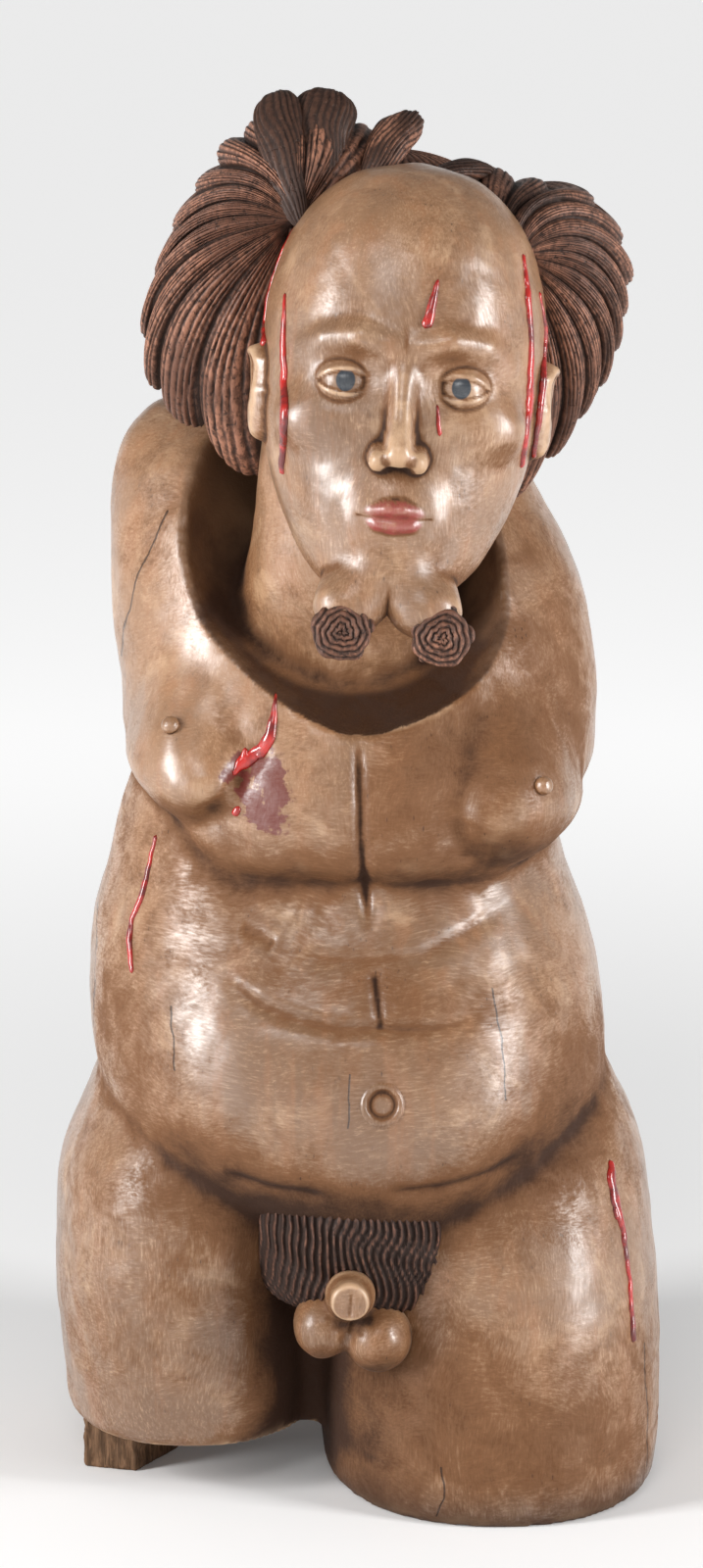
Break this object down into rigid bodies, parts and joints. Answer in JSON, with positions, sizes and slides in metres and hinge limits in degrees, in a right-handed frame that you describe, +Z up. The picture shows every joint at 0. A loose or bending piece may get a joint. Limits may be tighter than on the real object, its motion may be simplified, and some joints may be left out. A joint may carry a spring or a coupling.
{
  "type": "carved martyr figure",
  "caption": "Carved wooden armless martyr torso with fluted hair, a deep hollow round the neck and thighs cut off flat, one of them propped on a small block.",
  "frame": {"origin": "on the floor, under the middle of the figure's bounding box", "axes": "+Z up to the hair, +X to the viewer's right, and the figure faces -Y"},
  "size_m": [0.442, 0.4289, 0.993],
  "materials": {
    "figure_wood": "waxed carved wood with dark patina, stained hair and painted drips",
    "block_wood": "rough split wood"
  },
  "bodies": {
    "root": {"martyr_figure": "figure_wood", "prop_block": "block_wood"}
  },
  "joints": []
}
